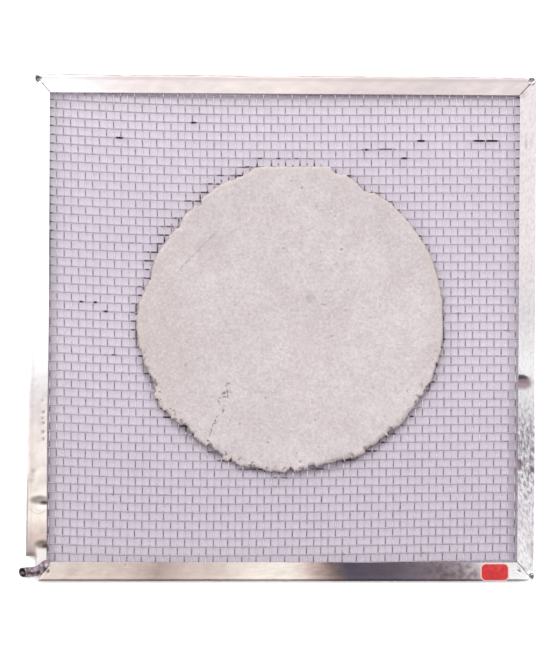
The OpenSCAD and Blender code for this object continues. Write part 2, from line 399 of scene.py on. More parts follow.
# Stains and large specks: place, half sizes across and up, strength
STAINS = (
    (6.1, 6.4, 1.7, 1.6, 0.26), (15.3, 21.0, 0.5, 0.45, 0.6), (3.5, 39.3, 0.5, 0.5, 0.5),
    (-23.0, 22.0, 5.5, 5.0, 0.09), (-31.0, -13.4, 0.5, 0.7, 0.4), (-6.5, -36.4, 0.4, 0.4, 0.6),
    (3.0, -42.0, 0.5, 0.5, 0.5), (8.0, 33.8, 0.4, 0.4, 0.35), (5.2, 30.4, 0.5, 0.4, 0.3),
)


def fractal(x, y, size, seed, octaves=3):
    """Smooth noise from -1 to 1 over the sheet, with its coarsest lumps about one size apart."""
    points = np.stack([x / size, y / size, np.full(np.shape(x), seed * 7.3)], -1).reshape(-1, 3)
    values = [noise.fractal(Vector(p), 1.0, 2.0, octaves) for p in points]
    return np.array(values).reshape(np.shape(x))


def ragged_rim(angle):
    """Radius of the rim: its outline, stepped a little from one cell of the cloth to the next."""
    degrees = np.degrees(angle) % 360
    radius = np.interp(degrees, *zip(*RIM, (360, RIM[0][1])))
    x, y = radius * np.cos(angle), radius * np.sin(angle)
    column = np.floor((x * MM - A_WARP) / WARP_PITCH).astype(int)
    row = np.floor((y * MM - A_WEFT) / WEFT_PITCH).astype(int)
    step = np.random.default_rng(11).random((200, 200))[column + 100, row + 100] - 0.5
    # It is cleanest on the right, and most torn along the bottom
    clean = 1 - 0.75 * (smooth(degrees, 350, 360) + 1 - smooth(degrees, 40, 60))
    torn = 0.55 + 0.9 * smooth(degrees, 195, 210) * (1 - smooth(degrees, 318, 330))
    radius = radius + torn * step * np.clip(clean, 0.25, 1) + 0.1 * fractal(x, y, 0.9, 5, 2)
    for middle, half, depth in CHIPS:
        radius = radius - depth * (abs(degrees - middle) < half)
    low, high, level = FLAT_TOP
    flat = (degrees > low) & (degrees < high)
    radius[flat] = np.minimum(radius[flat], level / np.sin(angle[flat]))
    return radius


def disc_rings():
    angle = np.linspace(0, 2 * math.pi, DISC_POINTS, endpoint=False)
    rim = ragged_rim(angle)
    degrees = np.degrees(angle)
    # The coat thins out towards its rim, most along the bottom, where the wires show
    margin = 0.45 + 0.5 * smooth(degrees, 105, 115) - 0.1 * smooth(degrees, 170, 190)
    margin = margin + 0.35 * smooth(degrees, 255, 275) - 0.75 * smooth(degrees, 320, 340)
    margin = margin * (1 + 0.5 * fractal(np.cos(angle) * 45, np.sin(angle) * 45, 3, 6, 2))
    rings = []
    for step in np.concatenate([np.linspace(0.04, 0.9, 26), np.linspace(0.92, 0.985, 8)]):
        radius = step * (rim - margin)
        x, y = radius * np.cos(angle), radius * np.sin(angle)
        z = DISC_TOP - 0.04 + 0.03 * fractal(x, y, 4, 8, 3)
        rings.append(np.stack([x, y, z], -1))
    for share in np.linspace(0, 1, 7):
        radius = rim - margin * (1 - share)
        x, y = radius * np.cos(angle), radius * np.sin(angle)
        z = DISC_TOP - 0.06 - 0.9 * share ** 1.6 + 0.05 * fractal(x, y, 1.2, 9, 2) * (0.3 + share)
        rings.append(np.stack([x, y, z], -1))
    for inwards, z in ((0.02, 1.1), (0.1, 0.7), (0.3, 0.35), (0.7, 0.1), (1.4, 0)):
        radius = rim - inwards
        rings.append(np.stack([radius * np.cos(angle), radius * np.sin(angle), np.full(len(angle), z)], -1))
    for step in (0.85, 0.6, 0.3, 0.04):
        radius = rim * step
        rings.append(np.stack([radius * np.cos(angle), radius * np.sin(angle), np.zeros(len(angle))], -1))
    rings = np.array(rings)
    rings[..., 2] = np.minimum(rings[..., 2], DISC_TOP)
    return rings


def disc_mesh(name):
    rings = disc_rings()
    count, size = rings.shape[:2]
    index = np.arange(count * size).reshape(count, size)
    inner, outer = index[:-1], index[1:]
    faces = np.stack([inner, outer, np.roll(outer, -1, 1), np.roll(inner, -1, 1)], -1).reshape(-1, 4).tolist()
    points = rings.reshape(-1, 3).tolist() + [[0, 0, DISC_TOP - 0.04], [0, 0, 0]]
    top, bottom = len(points) - 2, len(points) - 1
    for k in range(size):
        after = (k + 1) % size
        faces.append([top, int(index[0, k]), int(index[0, after])])
        faces.append([bottom, int(index[-1, after]), int(index[-1, k])])
    mesh = bpy.data.meshes.new(name)
    mesh.from_pydata((np.array(points) * MM).tolist(), [], faces)
    mesh.shade_smooth()
    return mesh


ceramic, make = new_material("ceramic")
place = make.node("ShaderNodeTexCoord")["Object"]
x, y, z = (part / MM for part in make.split(place))
cloudy = make.noise(place, 45, 3).ramp(0.3, 0.7)
colour = make.mix(cloudy, paint(220, 209, 212), paint(231, 220, 223))
colour = make.mix(x.ramp(-46, -20, 0.55, 0), colour, paint(210, 197, 194))
colour = make.mix(make.noise(place, 200, 3).ramp(0.35, 0.65, 0.0, 0.4), colour, paint(206, 193, 194))
fibres = make.noise(place, 1050, 3, 0.6)
colour = make.mix(fibres.ramp(0.25, 0.72, 0.46, 0.0), colour, paint(182, 168, 168))
colour = make.mix(make.noise(place, 1250, 2).ramp(0.5, 0.74, 0, 0.5), colour, paint(240, 232, 233))
specks = make.noise(place, 760, 1).ramp(0.745, 0.775)
colour = make.mix(specks * 0.4, colour, paint(128, 112, 112))
for stain_x, stain_y, half_x, half_y, strength in STAINS:
    away = ((x - stain_x) / half_x) ** 2 + ((y - stain_y) / half_y) ** 2
    colour = make.mix(away.ramp(0.3, 1.3, strength, 0), colour, paint(150, 134, 136))
# A chain of flecks where the coat has begun to crack, and a faint scratch
crack_x = (y + 18.5) * 0.325 - 18.2 + (make.noise(place, 260, 2) - 0.5) * 7.5
crack_x = crack_x + (make.noise(place, 900, 1) - 0.5) * 5.0
crack = (x - crack_x).maths("ABSOLUTE").ramp(0.15, 0.7, 1, 0) * y.ramp(-38.5, -37) * y.ramp(-20, -17, 1, 0)
crack = crack * make.noise(place, 620, 1).ramp(0.47, 0.56)
scratch_x = (y - 15.5) * 0.98 - 32.3
scratch = (x - scratch_x).maths("ABSOLUTE").ramp(0.1, 0.6, 1, 0) * y.ramp(14.5, 16) * y.ramp(25, 28, 1, 0)
scratch = scratch * make.noise(place, 500, 1).ramp(0.42, 0.55)
marks = (crack + scratch * 0.35).clip()
colour = make.mix(marks * 0.75, colour, paint(120, 104, 106))
far = (x * x + y * y) ** 0.5
colour = make.mix(far.ramp(43.2, 45.2, 0, 0.3), colour, paint(222, 208, 198))
# The lower rim has dark pits, coloured partly as painted shade, and its broken edge is scorched here and
# there
pits_and_shade = far.ramp(42.6, 44.4) * y.ramp(-16, -4, 1, 0) * make.noise(place, 620, 2).ramp(0.56, 0.63)
colour = make.mix(pits_and_shade * 0.75, colour, paint(116, 100, 98))
scorched = z.ramp(1.4, 2.2, 1, 0) * make.noise(place, 800, 2).ramp(0.35, 0.6, 0.2, 0.75)
colour = make.mix(scorched, colour, paint(158, 138, 132))
relief = fibres * 0.7 + make.noise(place, 3800, 2) * 0.3 - marks * 0.8 - specks * 0.5
uneven = make.bump(relief, 0.00016, 0.9)
finish_material(make, Base_Color=colour, Roughness=0.95, Specular_IOR_Level=0.2, Normal=uneven)
disc_data = disc_mesh("fibre_disc")
disc_data.materials.append(ceramic)
disc = add_object("fibre_disc", disc_data)
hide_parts("ceramic_disc")
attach(disc, "root")

# ---- Edge binding -------------------------------------------------------------------
# One strip of thin tinplate folded in half over the edge of the cloth. It starts at the
# bottom left with a narrow tongue, is folded and lapped at three corners, and comes back
# to a cut mitre, below which its spare end is rolled into a small tube.
SHEET = 0.3
FLANGE = 5.3
MIDDLE = 1.2
LAP_END = 6.3
LAP_FADE = 5.0
LAP_RISE = 0.1
# Corners of the strip's four sides: outer and inner end of each mitre
CORNERS = {
    "TL": ((-76.3, 73.3), (-71.4, 67.7)),
    "TR": ((73.5, 72.2), (68.4, 66.8)),
    "BR": ((72.6, -77.8), (67.6, -72.2)),
    "BL": ((-78.3, -77.8), (-72.0, -72.0)),
    "cut": ((-75.0, -77.8), (-72.0, -72.0)),
}
# The tongue is the inner half of the strip, and runs on past the cut
TONGUE_SPLIT = 0.5
CUT_Y = -70.2
TONGUE_Y = -73.5
FOLD_HALF = 0.5
FOLD_LINE = 0.12
BLUNT = 0.75
BLUNT_REACH = 3
MITRE_GROOVE = 0.075
BEAD = 0.05
# Rings stand closer together near the mitres
FINE_REACH = 3.2
FINE_SPACING = 0.2
SPACING = 0.45
FLAT_STEPS = 14
UNDER_STEPS = 5
FOLD_STEPS = 8
# Slope of each side's faces out to the fold, in degrees, along the side from its start
SLOPES = {
    "left": ((0, 3), (0.25, 2.2), (0.35, 1.6), (0.5, 3.5), (1, 3.5)),
    "top": ((0, 4), (0.3, 3.0), (1, 2.0)),
    "right": ((0, 2.5), (0.35, 2), (0.5, 3), (1, 2.5)),
    "bottom": ((0, 1), (0.1, 1.2), (0.3, 1.5), (0.45, 1.2), (0.55, 0.6), (1, 0.8)),
}
# Which ends of each side lie on top of the side that they meet
LAPS = {"left": (0, 0), "top": (1, 1), "right": (0, 1), "bottom": (0, 1)}
# Dents: place, half sizes across and up, depth, and darkening that is partly grime and partly painted shade
DENTS = (
    (-73.8, -53.8, 3.6, 1.9, 0.1, 0.0),
    (-74.6, -53.5, 4.1, 1.8, 0.0, 0.66),
    (-72.8, -54.3, 2.9, 0.95, 0.0, 1.0),
    (-73.0, -66.9, 2.6, 1.5, 0.08, 0.0),
    (-73.6, -66.7, 3.4, 1.9, 0.0, 0.7),
    (-72.6, -67.2, 2.3, 1.1, 0.0, 1.0),
    (-73.4, -62.5, 1.5, 1.7, 0.0, 0.16),
    (-77.0, -47.9, 1.6, 1.0, 0.0, 0.13),
    (-77.3, -70.2, 2.8, 1.8, 0.0, 0.5),
    (68.4, -18.2, 3.9, 2.1, 0.27, 0.3),
    (68.9, -18.7, 4.5, 2.7, 0.0, 0.82),
    (69.4, 66.9, 1.4, 1.4, 0.0, 0.2),
    (70.2, 52.3, 0.6, 3.0, 0.03, 0.22),
    (71.8, 52.6, 0.5, 2.2, 0.0, 0.15),
    (-71.9, -75.1, 0.6, 0.55, 0.15, 0.5),
    (68.3, -74.9, 0.5, 0.5, 0.2, 0.6),
    (67.8, -73.2, 0.3, 0.8, 0.08, 0.28),
    (68.3, -74.1, 0.35, 0.7, 0.08, 0.4),
    (71.9, -68.6, 1.3, 3.8, 0.0, 0.3),
    (-49.0, -72.8, 0.4, 0.4, 0.15, 0.4),
    (-73.4, -24.0, 0.45, 0.5, 0.15, 0.3),
    (-73.3, -27.5, 0.55, 0.5, 0.2, 0.55),
    (-73.5, -29.2, 0.5, 0.45, 0.2, 0.55),
    (-73.3, -30.8, 0.6, 0.45, 0.2, 0.65),
    (-73.4, -33.4, 0.55, 0.45, 0.2, 0.6),
    (-73.3, -35.5, 0.6, 0.45, 0.2, 0.65),
    (68.0, -42.9, 2.0, 2.5, 0.06, 0.66),
    (71.9, -44.4, 1.0, 1.4, 0.05, 0.66),
    (-76.2, -46.6, 1.5, 2.6, 0.12, 0.0),
)
LABEL = (60.9, -75.0)
# Hollows left where a corner's folds are pinched together: place, radius, depth
HOLLOWS = ((-74.8, 71.8, 1.1, 0.7), (71.9, 71.4, 0.85, 0.6), (72.1, -76.5, 1.1, 0.6))


def strip_section():
    """The folded strip's closed section as points: whether each is on the outer or the inner
    skin, its part of the section, and how far it lies along that part, from 0 to 1."""
    points = []
    for skin, steps in ((0, 1), (1, -1)):
        path = [("under", 1 - k / UNDER_STEPS) for k in range(UNDER_STEPS)]
        path += [("fold", k / FOLD_STEPS) for k in range(FOLD_STEPS + 1)]
        path += [("upper", ((k + 1) / FLAT_STEPS) ** 1.35) for k in range(FLAT_STEPS - 1)]
        path += [("upper", 0.985), ("upper", 1)]
        points += [(skin, part, share) for part, share in path[::steps]]
    return points


def strip_side(name, start, end):
    """Rings of points along one side of the binding, from one mitre to the next: their place
    on the sheet and height, whether they face up, and how far along and in they lie."""
    (outer0, inner0), (outer1, inner1) = (np.array(CORNERS[c], float) for c in (start, end))
    length = np.linalg.norm(outer1 - outer0)
    fine = np.arange(0, FINE_REACH, FINE_SPACING)
    coarse = np.arange(FINE_REACH, length - FINE_REACH, SPACING)
    places = np.concatenate([fine, coarse, length - fine[::-1]]) / length
    section = strip_section()
    slope = np.tan(np.radians(np.interp(places, *zip(*SLOPES[name]))))[:, None]
    skin = np.array([s for s, _, _ in section])[None]
    part = np.array([p for _, p, _ in section])[None]
    along = np.array([a for _, _, a in section])[None]
    radius = FOLD_HALF - skin * (SHEET - 0.08)
    turn = np.pi * (along - 0.5)
    in_fold = part == "fold"
    near = places[:, None] * length, (1 - places[:, None]) * length
    x = np.where(in_fold, FOLD_HALF - radius * np.cos(turn), FOLD_HALF + along * (FLANGE - FOLD_HALF))
    x = np.broadcast_to(x, (len(places), len(section)))
    side = np.where(in_fold, np.sin(turn), np.where(part == "upper", 1, -1))
    climb = np.where(in_fold, 0, along * (FLANGE - FOLD_HALF)) * slope
    height = side * (radius + climb)
    # A second thickness where this side's end laps the next
    lapped = sum(lap * (1 - smooth(d, LAP_END, LAP_END + LAP_FADE)) for lap, d in zip(LAPS[name], near))
    height = height + side * lapped * LAP_RISE
    # The two edges of a mitre are pressed down onto each other, and the fold stands a little
    # proud of the face, as a bead
    grooves = [np.exp(-(d / 0.3) ** 2) for d in near]
    # The bottom right mitre shows only next to the cloth, and a second crease runs beside
    # the top right one
    if name == "right":
        grooves[0] = 0.2 * grooves[0] + 0.4 * np.exp(-((near[0] - 1.5) / 0.3) ** 2)
        grooves[1] = grooves[1] * smooth(x, 2.4, 3.4)
    if name == "bottom":
        grooves[0] = grooves[0] * smooth(x, 2.4, 3.4)
    groove = sum(grooves)
    height = height - MITRE_GROOVE * groove * (side > 0.9)
    height = height + BEAD * smooth(x, 1.6, 0.8) * (side > 0.9)
    share_in = x / FLANGE
    u = np.broadcast_to(places[:, None], x.shape)
    if name == "left":
        lines0 = outer0 + (inner0 - outer0) * share_in[..., None]
        lines1 = outer1 + (inner1 - outer1) * share_in[..., None]
        u_foot = (TONGUE_Y - lines0[..., 1]) / (lines1[..., 1] - lines0[..., 1])
        u = u_foot + (1 - u_foot) * u
    line0 = outer0 + (inner0 - outer0) * share_in[..., None]
    line1 = outer1 + (inner1 - outer1) * share_in[..., None]
    plan = line0 + (line1 - line0) * u[..., None]
    upper = np.broadcast_to(np.clip(side, 0, 1), x.shape)
    run = np.broadcast_to(places[:, None] * length, x.shape)
    if name == "left":
        # The strip's outer part is cut back at the foot, and only the tongue runs on to it
        knee = CUT_Y + 0.6
        cut_back = knee + (plan[..., 1] - knee) * (CUT_Y - knee) / (TONGUE_Y - knee)
        is_cut = (share_in < TONGUE_SPLIT) & (plan[..., 1] < knee)
        plan[..., 1] = np.where(is_cut, cut_back, plan[..., 1])
        # The lower half of this side bows outwards a little
        plan[..., 0] -= 0.42 * smooth(-plan[..., 1], -10, 40)
        run = plan[..., 1] - outer0[1]
    # The tips of the two right-hand corners are blunt
    for corner, way in (("TR", 1), ("BR", -1)):
        tip = np.array(CORNERS[corner][0])
        beyond = ((plan - tip) @ (1, way)) / math.sqrt(2) + BLUNT
        near_tip = np.hypot(*(plan - tip).transpose(2, 0, 1)) < BLUNT_REACH
        plan = plan - (0.85 * np.clip(beyond, 0, None) * near_tip / math.sqrt(2))[..., None] * (1, way)
    return plan, height, upper, run, x * np.where(side < 0, -1, 1)


def pressed(plan, upper):
    """How far the worked surface stands off the plain one, and how dark it is painted, as grime and as shade
    in the dents and hollows: buckles, crumples, dents, and the hollows of the corners."""
    x, y = plan[..., 0], plan[..., 1]
    buckle = 0.05 * fractal(x, y, 9, 1) + 0.02 * fractal(x, y, 2.4, 2)
    right = smooth(x, 60, 66)
    crumpled = right * smooth(-y, 20, 30) * (1 - smooth(-y, 58, 66)) + 0.3 * right
    left = smooth(-x, 68, 71)
    crumpled = crumpled + 0.35 * left * smooth(-y, 10, 20) * (1 - smooth(-y, 30, 40))
    buckle = buckle + crumpled * 0.036 * fractal(x, y, 1.1, 3, 2)
    # Foil-like wrinkles, curved across the right side
    bend = (y + 0.06 * (x - 62) ** 2) * 1.9 + 1.5 * fractal(x, y, 5, 4, 1)
    buckle = buckle + right * smooth(-y, -16, -12) * (1 - smooth(-y, 2, 5)) * 0.02 * np.sin(bend * 2)
    label = smooth(abs(x - LABEL[0]), 5.4, 4.6) * smooth(abs(y - LABEL[1]), 4.2, 3.2)
    offset = buckle * (1 - label)
    grime_and_shade = np.zeros(x.shape)
    for cx, cy, half_x, half_y, depth, darkness in DENTS:
        away = ((x - cx) / half_x) ** 2 + ((y - cy) / half_y) ** 2
        dent = np.clip(1 - away, 0, 1) ** 1.5
        offset = offset - depth * dent
        grime_and_shade = np.maximum(grime_and_shade, darkness * smooth(dent, 0, 0.8))
    for cx, cy, radius, depth in HOLLOWS:
        away = np.hypot(x - cx, y - cy) / radius / (1 + 0.4 * fractal(x, y, 0.9, 12, 2))
        hollow = 1 - smooth(away, 0.45, 1)
        offset = offset - depth * hollow + 0.12 * np.exp(-((away - 1.15) / 0.2) ** 2)
        # The hollows are painted dark inside, as shade
        grime_and_shade = np.maximum(grime_and_shade, hollow * (0.75 + 0.6 * fractal(x, y, 0.7, 6, 1)))
    return offset * upper, grime_and_shade * upper


def ring_mesh(name, rings):
    """A closed mesh from rings of points in mm, each joined to the next."""
    count, size = rings.shape[:2]
    index = np.arange(count * size).reshape(count, size)
    a, b = index[:-1], index[1:]
    quads = np.stack([a, b, np.roll(b, -1, 1), np.roll(a, -1, 1)], -1).reshape(-1, 4).tolist()
    # The ends are thin bands between the outer and inner skin
    for ring, order in ((index[0], 1), (index[-1], -1)):
        for k in range(size // 2 - 1):
            quads.append([int(ring[q]) for q in (k, k + 1, size - 2 - k, size - 1 - k)][::order])
    mesh = bpy.data.meshes.new(name)
    mesh.from_pydata((rings.reshape(-1, 3) * MM).tolist(), [], quads)
    mesh.shade_smooth()
    return mesh


SIDES = (("left", "BL", "TL"), ("top", "TL", "TR"), ("right", "TR", "BR"), ("bottom", "BR", "cut"))
lengths = [math.dist(CORNERS[start][0], CORNERS[end][0]) for _, start, end in SIDES]
STARTS = dict(zip(("left", "top", "right", "bottom"), np.cumsum([0] + lengths[:3]).tolist()))
STRIP_LENGTH = sum(lengths)

# The tin's colour along each side, partly stains and wear and partly painted reflections, pale and dark:
# place on the sheet and colour
TONES = {
    "left": (
        (-74, (238, 231, 232)), (-68.2, (237, 229, 227)), (-66.8, (208, 189, 182)), (-63.4, (214, 194, 186)),
        (-59, (248, 237, 228)), (-56.5, (238, 228, 221)), (-50.5, (248, 239, 231)), (-48.3, (214, 203, 198)),
        (-46, (238, 227, 221)), (-40, (240, 228, 223)), (-31, (230, 219, 217)), (-21, (227, 221, 223)),
        (-15, (247, 244, 246)), (-6, (255, 254, 254)),
    ),
    "top": (
        (-70, (243, 239, 240)), (-48, (225, 213, 213)), (-25, (224, 213, 211)), (0, (232, 219, 216)),
        (22, (217, 204, 203)), (45, (216, 203, 203)), (70, (221, 208, 209)),
    ),
    "right": (
        (62, (240, 231, 234)), (25, (241, 231, 232)), (0, (228, 223, 226)), (-14, (250, 248, 250)),
        (-26, (228, 225, 229)), (-34, (206, 201, 207)), (-44, (204, 199, 205)), (-51, (238, 233, 238)),
        (-60, (237, 232, 238)), (-66, (234, 227, 232)), (-70, (252, 249, 252)), (-74, (254, 252, 253)),
    ),
    "bottom": (
        (68, (255, 254, 254)), (63.5, (250, 245, 246)), (58, (202, 190, 195)), (54, (168, 154, 160)),
        (47, (138, 124, 132)), (30, (98, 88, 99)), (18, (88, 83, 97)), (14.5, (124, 106, 106)),
        (10.5, (186, 162, 156)), (5, (242, 223, 214)), (0, (254, 245, 236)), (-11, (255, 242, 233)),
        (-22, (226, 210, 202)), (-32, (216, 198, 191)), (-40, (186, 168, 161)), (-50, (221, 203, 195)),
        (-74, (231, 217, 209)),
    ),
}


def strip_place(side, place):
    """How far along the whole strip a place on one side lies, in mm."""
    start, sign = {
        "left": (-CORNERS["BL"][0][1], 1), "top": (-CORNERS["TL"][0][0], 1),
        "right": (CORNERS["TR"][0][1], -1), "bottom": (CORNERS["BR"][0][0], -1),
    }[side]
    return STARTS[side] + start + sign * place


tinplate, make = new_material("tinplate")
place = make.node("ShaderNodeTexCoord")["Object"]
along, across, grime_and_shade = (attribute(make, name) for name in ("along", "across", "grime_and_shade"))


def stretch(side, low, high, at_low=0.0, at_high=1.0):
    """A smooth step along the strip, between two places on one of its sides."""
    return along.ramp(strip_place(side, low), strip_place(side, high), at_low, at_high)


lines = make.join(along * 0.1, across * 1.1)
grain = make.noise(lines, 2.2, 3, 0.6)
wobble = (make.noise(place, 260, 3) - 0.5) * 4.0 + (grain - 0.5) * 3.0
tone = None
for side, stops in TONES.items():
    stops = [(strip_place(side, where) / STRIP_LENGTH, paint(*colour)) for where, colour in stops]
    share = (along + wobble) / STRIP_LENGTH
    shade = make.node("ShaderNodeValToRGB", {"stops": stops}, {"Fac": share})["Color"]
    started = along.maths("GREATER_THAN", STARTS[side])
    tone = shade if tone is None else make.mix(started, tone, shade)
bottom = along.ramp(STARTS["bottom"] - 0.1, STARTS["bottom"])
right = along.ramp(STARTS["right"] - 0.1, STARTS["right"]) * (1 - bottom)
# Blue heat-tint streaks on the bottom side, and a brown stain towards the label, both partly a painted dark
# reflection
blue_tint_and_reflection = bottom * make.noise(lines, 1.1, 2).ramp(0.5, 0.7)
blue_tint_and_reflection = blue_tint_and_reflection * stretch("bottom", 44, 34) * stretch("bottom", 26, 18, 1, 0)
tone = make.mix(blue_tint_and_reflection * 0.35, tone, paint(92, 100, 128))
tone = make.mix(bottom * grain.ramp(0.35, 0.7, 0.1, 0), tone, paint(128, 112, 110))
stain_and_reflection = bottom * stretch("bottom", 60, 56) * stretch("bottom", 46, 38, 1, 0)
tone = make.mix(stain_and_reflection * make.noise(place, 520, 3).ramp(0.42, 0.62, 0, 0.45), tone, paint(92, 76, 82))
# The right side is mottled with wear, in patches and in fine curling lines
worm = make.join(along * 0.55, across)
mottle = make.noise(worm, 1.15, 2, 0.55)
curls = (make.noise(worm, 0.9, 3, 0.6) - 0.52).maths("ABSOLUTE").ramp(0.01, 0.05, 1, 0)
worn = right * stretch("right", -20, -40) * stretch("right", -48, -60, 1, 0.32) + right * 0.2
scraped = (mottle.ramp(0.46, 0.64) * 0.6 + curls * 0.3).clip()
tone = make.mix(worn * scraped, tone, paint(128, 122, 128))
tone = make.mix(worn * mottle.ramp(0.30, 0.46, 1, 0) * 0.8, tone, paint(250, 248, 250))
# The lower left side is faintly blotched
blotched = stretch("left", -22, -12, 1, 0) * stretch("left", -60, -50)
blotches = make.noise(place, 330, 3).ramp(0.44, 0.66, 0, 0.34)
tone = make.mix(blotched * blotches, tone, paint(204, 194, 190))
# A broken grey line of painted shade along the fold of the top side
fold_shade_line = (across - FOLD_LINE + (make.noise(place, 170, 2) - 0.5) * 0.7).maths("ABSOLUTE")
fold_shade_line = fold_shade_line.ramp(0.08, 0.34, 1, 0) * across.ramp(0, 0.01) * make.noise(place, 120, 2).ramp(0.3, 0.45)
lined = along.ramp(STARTS["top"] + 3, STARTS["top"] + 4)
lined = lined * along.ramp(STARTS["right"] - 4, STARTS["right"] - 3, 1, 0)
tone = make.mix(fold_shade_line * lined * 0.8, tone, paint(150, 148, 152))
# Painted shade at the cut foot, along the folds of the left and bottom sides, and in the crease of the top
# left mitre
foot = stretch("left", -68.6, -64.6, 1, 0) * across.ramp(2.1, 3.1, 1, 0)
tone = make.mix(foot * 0.85, tone, paint(170, 149, 146))
left_fold_shade = across.ramp(0.2, 0.7, 1, 0) * stretch("left", -54, -42, 1, 0)
tone = make.mix(left_fold_shade * 0.85, tone, paint(150, 138, 140))
bottom_fold_shade = across.ramp(0.3, 0.9, 1, 0) * bottom * stretch("bottom", 71.5, 68.5)
tone = make.mix(bottom_fold_shade * 0.7, tone, paint(88, 76, 82))
mitre = along.maths("GREATER_THAN", STARTS["top"] - 0.01)
mitre = mitre * along.ramp(STARTS["top"] + 0.1, STARTS["top"] + 0.55, 1, 0)
tone = make.mix(mitre * 0.6, tone, paint(150, 147, 150))
# Darkening in the dents and corner hollows, partly grime and partly painted shade: brown on the left, grey in
# the corners and reddish on the right
darkening_colour = along.ramp(STARTS["top"] - 30, STARTS["top"] - 20)
darkening_colour = make.mix(darkening_colour, paint(88, 72, 62), paint(94, 88, 90))
darkening_colour = make.mix(right, darkening_colour, paint(112, 78, 87))
tone = make.mix(grime_and_shade, tone, darkening_colour)
# A painted highlight and a faint curved line of painted crease shade below the left side's upper dent
x, y, _ = (part / MM for part in make.split(place))
painted_highlight = (((x + 73.0) / 2.7) ** 2 + ((y + 55.8) / 0.9) ** 2).ramp(0.1, 1.2, 0.8, 0)
tone = make.mix(painted_highlight, tone, paint(255, 250, 249))
crease_shade = (((x + 75.0) / 2.4) ** 2 + ((y + 55.3) / 2.3) ** 2) ** 0.5
crease_shade = (crease_shade - 1).maths("ABSOLUTE").ramp(0.02, 0.1, 0.35, 0) * y.ramp(-56.4, -55.8, 1, 0)
tone = make.mix(crease_shade, tone, paint(176, 166, 160))
dimples = make.noise(place, 1300, 2)
rough = make.noise(place, 300, 3).ramp(0.3, 0.7, 0.15, 0.25)
uneven = make.bump(grain * 0.15 + dimples * 0.3 + mottle * worn * 1.2, 0.00003)
finish_material(make, Base_Color=tone, Metallic=1.0, Roughness=rough, Normal=uneven)

rings, runs, offs, darkness = [], [], [], []
for name, start, end in SIDES:
    plan, height, upper, run, off = strip_side(name, start, end)
    offset, grime_and_shade = pressed(plan, upper)
    rings.append(np.concatenate([plan, (MIDDLE + height + offset)[..., None]], -1))
    runs.append(STARTS[name] + run)
    offs.append(off)
    darkness.append(grime_and_shade)
binding_mesh = ring_mesh("tinplate_binding", np.concatenate(rings))
set_attribute(binding_mesh, "along", np.concatenate(runs))
set_attribute(binding_mesh, "across", np.concatenate(offs))
set_attribute(binding_mesh, "grime_and_shade", np.concatenate(darkness))
binding_mesh.flip_normals()
binding_mesh.materials.append(tinplate)
binding = add_object("tinplate_binding", binding_mesh)
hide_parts("edge_binding")
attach(binding, "root")

# The spare end of the strip, squeezed flat where it leaves the corner and rolled up beyond
# it. Its mouth is cut on the slant, so that it gapes upwards.
TAIL_PATH = (
    (-71.7, -71.6, 1.3), (-72.8, -72.7, 1.5), (-74.2, -74.0, 1.8), (-75.8, -74.8, 2.1), (-78.0, -74.9, 2.3),
    (-79.5, -74.9, 2.4),
)
TAIL_RADII = (1.3, 1.45, 1.6, 1.7, 1.72, 1.72)
TAIL_TURNS = 1.2
# How much of its radius the roll loses inwards, where its outer edge starts, in radians, and
# how far its mouth slants
TAIL_TIGHTENS = 0.24
TAIL_EDGE = 0.6
TAIL_SLANT = 0.75
TAIL_SHEET = 0.2


def tail_mesh(name):
    knots = np.linspace(0, 1, len(TAIL_PATH))
    spots = np.linspace(0, 1, 36)
    path = np.array([[np.interp(s, knots, axis) for axis in zip(*TAIL_PATH)] for s in spots])
    for _ in range(4):
        path[1:-1] = (path[:-2] + 2 * path[1:-1] + path[2:]) / 4
    radii = np.interp(spots, knots, TAIL_RADII)
    squash = np.interp(spots, (0, 0.3, 0.6), (0.45, 0.75, 1.0))
    turn = np.linspace(0, TAIL_TURNS * 2 * math.pi, 48)
    rings = []
    for k, centre in enumerate(path):
        ahead = path[min(k + 1, len(path) - 1)] - path[max(k - 1, 0)]
        ahead /= np.linalg.norm(ahead)
        aside = np.cross(ahead, (0, 0, 1))
        aside /= np.linalg.norm(aside)
        up = np.cross(aside, ahead)
        ring = []
        for skin, angles in ((0, turn), (1, turn[::-1])):
            # The roll tightens inwards by more than the sheet's thickness
            reach = radii[k] * (1 - TAIL_TIGHTENS * angles / turn[-1]) - TAIL_SHEET * skin
            bent = angles + TAIL_EDGE
            over, rise = reach * np.cos(bent), reach * np.sin(bent) * squash[k]
            slant = TAIL_SLANT * smooth(spots[k], 0.55, 1)
            ring += [centre + aside * a + up * b - ahead * b * slant for a, b in zip(over, rise)]
        rings.append(ring)
    rings = np.array(rings)
    dented = 0.07 * fractal(rings[..., 0], rings[..., 1] + 3 * rings[..., 2], 1.6, 21, 2)
    away = rings - path[:, None]
    rings = rings + away * (dented / np.linalg.norm(away, axis=-1).clip(0.3))[..., None]
    rings[..., 2] = np.clip(rings[..., 2], 0.02, 4.2)
    mesh = ring_mesh(name, rings)
    shaded_inside = np.zeros(rings.shape[:2])
    shaded_inside[:, len(turn):] = smooth(spots, 0.0, 0.1)[:, None]
    set_attribute(mesh, "shaded_inside", shaded_inside)
    return mesh


